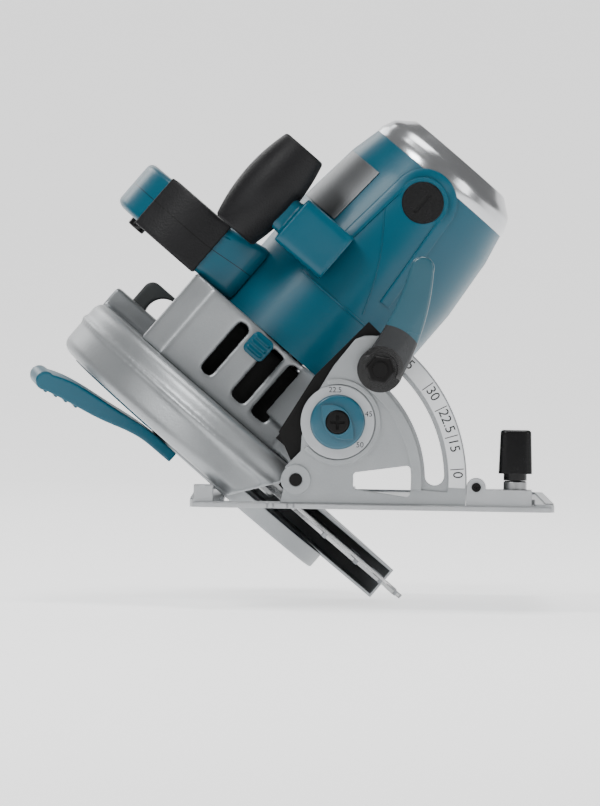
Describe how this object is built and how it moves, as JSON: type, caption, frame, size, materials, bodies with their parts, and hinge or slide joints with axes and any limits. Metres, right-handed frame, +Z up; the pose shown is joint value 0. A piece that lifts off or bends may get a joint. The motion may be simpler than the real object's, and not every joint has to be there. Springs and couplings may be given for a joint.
{
  "type": "circular saw",
  "caption": "Sidewinder circular saw with a bevelling base, a depth guide, fixed and swinging blade guards, a gear-driven blade, a closed main handle with a trigger and a front knob",
  "frame": {"origin": "middle of the sole's underside", "axes": "+Z up from the sole, -Y towards the saw's front, +X towards the motor side"},
  "size_m": [0.2772, 0.3693, 0.2568],
  "materials": {
    "base_casting": "pressed and machined light alloy, satin",
    "black_metal": "black oxide and black enamel on steel",
    "guard_casting": "silver enamel on a magnesium casting, fine grain",
    "scale_white": "light enamel with printed degree marks",
    "teal_plastic": "glossy glass-filled nylon in teal",
    "dark_plastic": "dark grey matte nylon",
    "black_plastic": "glossy black phenolic",
    "rubber_black": "soft black elastomer with a fine grain",
    "chrome_steel": "bright plated steel",
    "steel": "ground and brushed steel",
    "copper": "copper bars and lacquered windings",
    "label_silver": "bare satin aluminium plate",
    "carbide": "sintered carbide"
  },
  "bodies": {
    "base": {"base_plate": "base_casting", "base_screw": "black_metal", "bevel_quadrant": "guard_casting", "scale_plate": "scale_white", "bevel_pin_front": "black_metal", "dial_screw": "black_metal", "fence_collar": "steel", "rear_pivot_bracket": "steel", "rear_pivot_pin": "steel"},
    "stop_dial_body": {"stop_dial": "teal_plastic"},
    "fence_knob_body": {"fence_knob": "black_plastic"},
    "bevel_frame": {"bevel_bracket": "black_metal", "clamp_bolt": "steel", "clamp_hardware": "steel", "depth_pin": "black_metal", "depth_guide": "steel", "rear_bevel_arm": "steel"},
    "bevel_lever_body": {"bevel_lever": "black_plastic"},
    "head": {"upper_guard": "guard_casting", "guard_badge": "teal_plastic", "dust_nozzle": "dark_plastic", "gear_housing": "guard_casting", "bearing_retainer": "guard_casting", "spindle_bearings": "steel", "armature_bearings": "steel", "motor_housing": "teal_plastic", "end_cap": "chrome_steel", "stator": "steel", "carbon_brushes": "copper", "brush_holders": "dark_plastic", "brush_caps": "black_plastic", "motor_label": "label_silver", "knob_bracket": "teal_plastic", "front_knob": "rubber_black", "handle_left": "teal_plastic", "handle_right": "teal_plastic", "handle_grip": "rubber_black", "handle_screws": "black_metal", "trigger_switch": "dark_plastic", "cord_gland": "rubber_black", "depth_bolt": "steel", "guard_spring": "steel"},
    "shaft_lock_body": {"shaft_lock": "teal_plastic"},
    "trigger_body": {"trigger": "black_plastic"},
    "lock_off_body": {"lock_off_button": "black_plastic"},
    "depth_lever_body": {"depth_lever": "black_plastic"},
    "armature": {"armature_shaft": "steel", "armature_core": "steel", "armature_windings": "copper", "commutator": "copper", "cooling_fan": "black_plastic"},
    "spindle_body": {"spindle": "steel", "drive_gear": "steel", "inner_flange": "steel", "outer_flange": "steel", "blade_bolt": "steel", "blade": "steel", "carbide_tips": "carbide"},
    "lower_guard_body": {"lower_guard": "steel", "guard_lever": "teal_plastic"}
  },
  "joints": [
    {"name": "bevel_tilt", "type": "hinge", "parent": "base", "child": "bevel_frame", "pos_m": [-0.04, 0, 0.015], "axis": [0, 1, 0], "range_deg": [0, 50]},
    {"name": "depth_swing", "type": "hinge", "parent": "bevel_frame", "child": "head", "pos_m": [-0.02479, -0.112, 0.04401], "axis": [0.6428, 0, 0.766], "range_deg": [0, 35]},
    {"name": "blade_spin", "type": "hinge", "parent": "head", "child": "spindle_body", "pos_m": [-0.06368, -0.01, 0.0179], "axis": [0.6428, 0, 0.766], "continuous": true},
    {"name": "armature_spin", "type": "hinge", "parent": "head", "child": "armature", "pos_m": [-0.01796, -0.025, 0.11008], "axis": [0.6428, 0, 0.766], "continuous": true},
    {"name": "lower_guard_swing", "type": "hinge", "parent": "head", "child": "lower_guard_body", "pos_m": [-0.05982, -0.01, 0.02249], "axis": [0.6428, 0, 0.766], "range_deg": [-93, 34], "stiffness_Nm_per_rad": 0.12, "springref_deg": -137.51},
    {"name": "bevel_lever_turn", "type": "hinge", "parent": "bevel_frame", "child": "bevel_lever_body", "pos_m": [0.00301, -0.15, 0.07312], "axis": [0, 1, 0], "range_deg": [-45, 0]},
    {"name": "stop_dial_turn", "type": "hinge", "parent": "base", "child": "stop_dial_body", "pos_m": [-0.0187, -0.149, 0.0454], "axis": [0, 1, 0], "range_deg": [-135, 0]},
    {"name": "fence_knob_turn", "type": "hinge", "parent": "base", "child": "fence_knob_body", "pos_m": [0.0744, -0.134, 0.03], "axis": [0, 0, 1], "range_deg": [0, 360]},
    {"name": "depth_lever_turn", "type": "hinge", "parent": "head", "child": "depth_lever_body", "pos_m": [-0.0282, 0.02367, 0.05471], "axis": [0.6428, 0, 0.766], "range_deg": [0, 35]},
    {"name": "shaft_lock_press", "type": "slide", "parent": "head", "child": "shaft_lock_body", "axis": [0, 1, 0], "range_m": [0, 0.004], "stiffness_N_per_m": 400, "springref_m": -0.001},
    {"name": "trigger_pull", "type": "slide", "parent": "head", "child": "trigger_body", "axis": [-0.766, 0, 0.6428], "range_m": [0, 0.006], "stiffness_N_per_m": 500, "springref_m": -0.003},
    {"name": "lock_off_press", "type": "slide", "parent": "head", "child": "lock_off_body", "axis": [0.6428, 0, 0.766], "range_m": [0, 0.003], "stiffness_N_per_m": 300, "springref_m": -0.001}
  ],
  "couplings": [
    {"joint": "armature_spin", "follows": "blade_spin", "ratio": -4.7}
  ]
}
